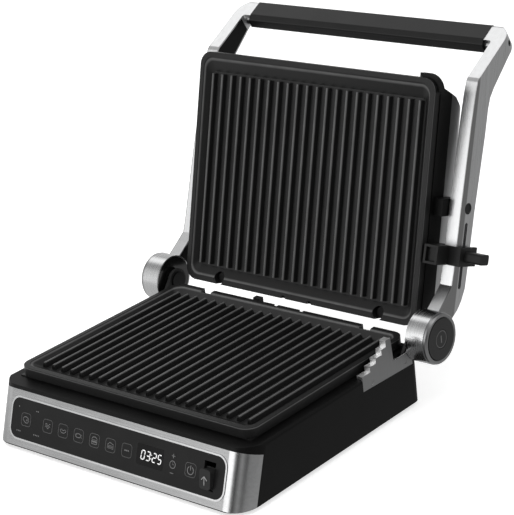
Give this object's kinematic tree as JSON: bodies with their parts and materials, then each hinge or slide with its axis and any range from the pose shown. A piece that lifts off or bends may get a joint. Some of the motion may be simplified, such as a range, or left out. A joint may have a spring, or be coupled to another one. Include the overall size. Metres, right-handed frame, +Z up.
{
  "type": "electric indoor grill with hinged lid",
  "caption": "Electric contact grill: base with touch panel and ribbed plate, floating ribbed upper plate on a hinged bail with bar handle.",
  "frame": {"origin": "on the table, under the middle of the grill's bounding box in this pose", "axes": "+X to the side with the height rack, +Y to the back, +Z up; the front panel faces -Y"},
  "size_m": [0.3762, 0.4414, 0.3195],
  "materials": {
    "black_abs": "satin black moulding",
    "cover_plastic": "matt black moulding",
    "brushed_steel": "horizontal brushing",
    "trim_metal": "thin bright trim",
    "panel_black": "smooth black",
    "display_black": "dark window",
    "pad_grey": "touch pad",
    "circuit_board": "board",
    "slider_black": "ribbed slider",
    "pan_metal": "heat-proof black",
    "heater_metal": "oxidised tube",
    "nonstick": "dark non-stick coating",
    "rack_steel": "bead-blasted sheet",
    "bracket_black": "black",
    "pin_steel": "turned",
    "sleeve_rubber": "matt",
    "foot_rubber": "matt",
    "screw_steel": "plated",
    "gland_black": "matt",
    "drum_metal": "satin turned",
    "ring_metal": "satin turned",
    "disc_black": "satin black",
    "cap_gloss": "gloss black",
    "button_black": "satin black",
    "arm_metal": "brushed",
    "liner_black": "satin black insert",
    "grip_black": "satin black",
    "rod_steel": "turned",
    "cap_black": "matt",
    "pan_black": "satin black",
    "cover_steel": "brushed",
    "clip_black": "satin black",
    "tab_black": "satin black"
  },
  "bodies": {
    "base": {"base_shell": "black_abs", "bottom_cover": "cover_plastic", "front_fascia": "brushed_steel", "panel_frame": "trim_metal", "touch_panel": "panel_black", "display_window": "display_black", "program_pads": "pad_grey", "timer_pads": "pad_grey", "power_pad": "pad_grey", "control_board": "circuit_board", "lower_pan": "pan_metal", "lower_element": "heater_metal", "rack": "rack_steel", "hinge_bracket_left": "bracket_black", "hinge_bracket_right": "bracket_black", "hinge_pin_left": "pin_steel", "hinge_pin_right": "pin_steel", "cable_sleeve": "sleeve_rubber", "feet": "foot_rubber", "base_screws": "screw_steel", "cord_gland": "gland_black"},
    "release_slider": {"release_slider": "slider_black"},
    "lower_plate": {"lower_plate": "nonstick"},
    "bail": {"drum_left": "drum_metal", "drum_right": "drum_metal", "drum_ring_left": "ring_metal", "drum_ring_right": "ring_metal", "drum_disc_left": "disc_black", "drum_disc_right": "disc_black", "inner_cap_left": "cap_gloss", "inner_cap_right": "cap_gloss", "arm_left": "arm_metal", "arm_right": "arm_metal", "arm_liner_left": "liner_black", "arm_liner_right": "liner_black", "handle_grip": "grip_black", "handle_rod": "rod_steel", "arm_screw_caps": "cap_black"},
    "hinge_button": {"hinge_button": "button_black"},
    "upper_pan": {"pan_frame": "pan_black", "pan_cover": "cover_steel", "upper_element": "heater_metal", "pivot_pin_left": "cap_black", "pivot_pin_right": "cap_black"},
    "upper_plate": {"upper_plate": "nonstick"},
    "clip": {"clip_body": "clip_black", "clip_tab": "tab_black"}
  },
  "joints": [
    {"name": "lid_hinge", "type": "hinge", "parent": "base", "child": "bail", "pos_m": [0, 0.0474, 0.06757], "axis": [1, 0, 0], "range_deg": [-65, 106.8]},
    {"name": "pan_tilt", "type": "hinge", "parent": "bail", "child": "upper_pan", "pos_m": [0, 0.11942, 0.16984], "axis": [1, 0, 0], "range_deg": [-6, 0]},
    {"name": "clip_slide", "type": "slide", "parent": "bail", "child": "clip", "axis": [0, 0.3269, 0.945], "range_m": [-0.0125, 0.022]},
    {"name": "plate_release", "type": "slide", "parent": "base", "child": "release_slider", "axis": [0, 0.342, 0.9397], "range_m": [0, 0.005], "stiffness_N_per_m": 200, "springref_m": -0.004},
    {"name": "hinge_release", "type": "slide", "parent": "bail", "child": "hinge_button", "axis": [-1, 0, 0], "range_m": [0, 0.0025], "stiffness_N_per_m": 400, "springref_m": -0.003},
    {"name": "lower_plate_lift", "type": "slide", "parent": "base", "child": "lower_plate", "axis": [0, 0, -1], "range_m": [-0.025, 0]},
    {"name": "upper_plate_lift", "type": "slide", "parent": "upper_pan", "child": "upper_plate", "axis": [0, 0.9623, -0.2719], "range_m": [-0.025, 0]}
  ]
}
